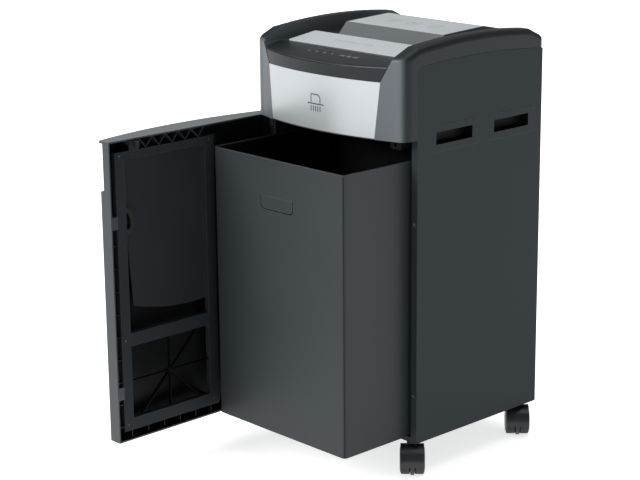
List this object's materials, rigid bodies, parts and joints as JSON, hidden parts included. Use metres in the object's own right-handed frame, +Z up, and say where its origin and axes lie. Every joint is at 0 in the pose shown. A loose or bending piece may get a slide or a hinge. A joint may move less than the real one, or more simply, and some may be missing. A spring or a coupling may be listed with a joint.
{
  "type": "paper shredder",
  "caption": "Floor-standing office paper shredder on castors with a swinging front door, a tall pull-out waste bin and a bowed head with a top paper slot.",
  "frame": {"origin": "on the floor, under the middle of the cabinet's width and depth", "axes": "+Z up, +X to the user's right, -Y towards the user (the door and bin side)"},
  "size_m": [0.5086, 0.7979, 0.8913],
  "materials": {
    "charcoal_board": "fine-textured charcoal laminate",
    "charcoal_shell": "moulded, light grain",
    "grey_moulding": "metallic-grey moulded, satin",
    "silver_plate": "satin silver film",
    "nose_grey": "satin-gloss moulded",
    "pale_plate": "smooth light grey",
    "black_moulding": "moulded black",
    "bin_plastic": "satin moulded",
    "castor_black": "moulded black",
    "wheel_rubber": "soft grey-black tread",
    "steel": "ground steel",
    "zinc_sheet": "zinc-plated sheet",
    "gear_nylon": "nylon",
    "motor_case": "painted",
    "board_green": "circuit board",
    "lens_clear": "clear lens"
  },
  "bodies": {
    "cabinet": {"side_panel_right": "charcoal_board", "side_panel_left": "charcoal_board", "grip_insert_right": "charcoal_shell", "grip_insert_left": "charcoal_shell", "back_panel": "charcoal_board", "base_board": "charcoal_board", "cheek_right": "grey_moulding", "cheek_left": "grey_moulding", "fascia_plate": "silver_plate", "fascia_carrier": "black_moulding", "control_nose": "nose_grey", "indicator_bar": "lens_clear", "control_board": "board_green", "top_deck": "charcoal_shell", "front_guide": "charcoal_shell", "guide_plate": "pale_plate", "rear_support": "charcoal_shell", "rear_plate": "pale_plate", "throat_liner": "black_moulding", "bulkhead": "charcoal_shell", "cutter_frame_left": "zinc_sheet", "cutter_frame_right": "zinc_sheet", "motor": "motor_case", "tie_rod_front": "steel", "tie_rod_rear": "steel", "stripper_front": "black_moulding", "stripper_rear": "black_moulding", "power_board": "board_green", "mains_inlet": "black_moulding", "interlock_switch": "black_moulding", "hinge_pin_lower": "steel", "hinge_pin_upper": "steel", "catch_lower": "steel", "catch_upper": "steel"},
    "door": {"door_shell": "charcoal_shell", "door_frame": "charcoal_shell", "door_panel": "charcoal_shell", "door_tab": "black_moulding", "keeper_lower": "steel", "keeper_upper": "steel"},
    "bin": {"bin_body": "bin_plastic"},
    "hand_flap": {"hand_flap": "bin_plastic"},
    "cutter_rear": {"cutter_rear": "steel", "drive_gear": "gear_nylon"},
    "cutter_front": {"cutter_front": "steel"},
    "idler": {"idler_gear": "gear_nylon"},
    "pinion": {"motor_pinion": "steel"},
    "bin_full_flap": {"bin_full_flap": "black_moulding"},
    "rocker": {"rocker_switch": "black_moulding"},
    "key_reverse": {"key_reverse": "black_moulding"},
    "key_power": {"key_power": "black_moulding"},
    "key_forward": {"key_forward": "black_moulding"},
    "castor_front_left": {"castor_hood_front_left": "castor_black"},
    "wheels_front_left": {"castor_wheels_front_left": "wheel_rubber"},
    "castor_front_right": {"castor_hood_front_right": "castor_black"},
    "wheels_front_right": {"castor_wheels_front_right": "wheel_rubber"},
    "castor_rear_left": {"castor_hood_rear_left": "castor_black"},
    "wheels_rear_left": {"castor_wheels_rear_left": "wheel_rubber"},
    "castor_rear_right": {"castor_hood_rear_right": "castor_black"},
    "wheels_rear_right": {"castor_wheels_rear_right": "wheel_rubber"}
  },
  "joints": [
    {"name": "door_hinge", "type": "hinge", "parent": "cabinet", "child": "door", "pos_m": [-0.211, -0.1825, 0.38], "axis": [0, 0, -1], "range_deg": [-90, 15]},
    {"name": "bin_slide", "type": "slide", "parent": "cabinet", "child": "bin", "axis": [0, -1, 0], "range_m": [-0.2145, 0.036]},
    {"name": "hand_flap_hinge", "type": "hinge", "parent": "bin", "child": "hand_flap", "pos_m": [0, -0.3605, 0.5777], "axis": [1, 0, 0], "range_deg": [0, 60], "stiffness_Nm_per_rad": 0.02},
    {"name": "castor_swivel_front_left", "type": "hinge", "parent": "cabinet", "child": "castor_front_left", "pos_m": [-0.182, -0.163, 0.07], "axis": [0, 0, 1], "continuous": true},
    {"name": "wheel_spin_front_left", "type": "hinge", "parent": "castor_front_left", "child": "wheels_front_left", "pos_m": [-0.16786, -0.17714, 0.03], "axis": [0.7071, 0.7071, 0], "continuous": true},
    {"name": "castor_swivel_front_right", "type": "hinge", "parent": "cabinet", "child": "castor_front_right", "pos_m": [0.182, -0.163, 0.07], "axis": [0, 0, 1], "continuous": true},
    {"name": "wheel_spin_front_right", "type": "hinge", "parent": "castor_front_right", "child": "wheels_front_right", "pos_m": [0.19614, -0.17714, 0.03], "axis": [0.7071, 0.7071, 0], "continuous": true},
    {"name": "castor_swivel_rear_left", "type": "hinge", "parent": "cabinet", "child": "castor_rear_left", "pos_m": [-0.182, 0.163, 0.07], "axis": [0, 0, 1], "continuous": true},
    {"name": "wheel_spin_rear_left", "type": "hinge", "parent": "castor_rear_left", "child": "wheels_rear_left", "pos_m": [-0.16786, 0.14886, 0.03], "axis": [0.7071, 0.7071, 0], "continuous": true},
    {"name": "castor_swivel_rear_right", "type": "hinge", "parent": "cabinet", "child": "castor_rear_right", "pos_m": [0.182, 0.163, 0.07], "axis": [0, 0, 1], "continuous": true},
    {"name": "wheel_spin_rear_right", "type": "hinge", "parent": "castor_rear_right", "child": "wheels_rear_right", "pos_m": [0.19614, 0.14886, 0.03], "axis": [0.7071, 0.7071, 0], "continuous": true},
    {"name": "cutter_rear_spin", "type": "hinge", "parent": "cabinet", "child": "cutter_rear", "pos_m": [0, -0.088, 0.77], "axis": [1, 0, 0], "continuous": true},
    {"name": "cutter_front_spin", "type": "hinge", "parent": "cabinet", "child": "cutter_front", "pos_m": [0, -0.126, 0.77], "axis": [1, 0, 0], "continuous": true},
    {"name": "idler_spin", "type": "hinge", "parent": "cabinet", "child": "idler", "pos_m": [0.141, -0.025, 0.77], "axis": [1, 0, 0], "continuous": true},
    {"name": "pinion_spin", "type": "hinge", "parent": "cabinet", "child": "pinion", "pos_m": [0.141, 0.014, 0.77], "axis": [1, 0, 0], "continuous": true},
    {"name": "bin_full_flap_hinge", "type": "hinge", "parent": "cabinet", "child": "bin_full_flap", "pos_m": [0, -0.061, 0.693], "axis": [1, 0, 0], "range_deg": [0, 40]},
    {"name": "rocker_tip", "type": "hinge", "parent": "cabinet", "child": "rocker", "pos_m": [0.085, 0.1815, 0.735], "axis": [1, 0, 0], "range_deg": [-6, 6]},
    {"name": "key_reverse_press", "type": "slide", "parent": "cabinet", "child": "key_reverse", "axis": [0, 0.1736, -0.9848], "range_m": [0, 0.0008], "stiffness_N_per_m": 300, "springref_m": -0.0004},
    {"name": "key_power_press", "type": "slide", "parent": "cabinet", "child": "key_power", "axis": [0, 0.1736, -0.9848], "range_m": [0, 0.0008], "stiffness_N_per_m": 300, "springref_m": -0.0004},
    {"name": "key_forward_press", "type": "slide", "parent": "cabinet", "child": "key_forward", "axis": [0, 0.1736, -0.9848], "range_m": [0, 0.0008], "stiffness_N_per_m": 300, "springref_m": -0.0004}
  ],
  "couplings": [
    {"joint": "bin_slide", "follows": "door_hinge", "m_per_rad": 0.13624},
    {"joint": "cutter_front_spin", "follows": "cutter_rear_spin", "ratio": -1},
    {"joint": "idler_spin", "follows": "cutter_rear_spin", "ratio": -1.1},
    {"joint": "pinion_spin", "follows": "cutter_rear_spin", "ratio": 3.6667}
  ]
}
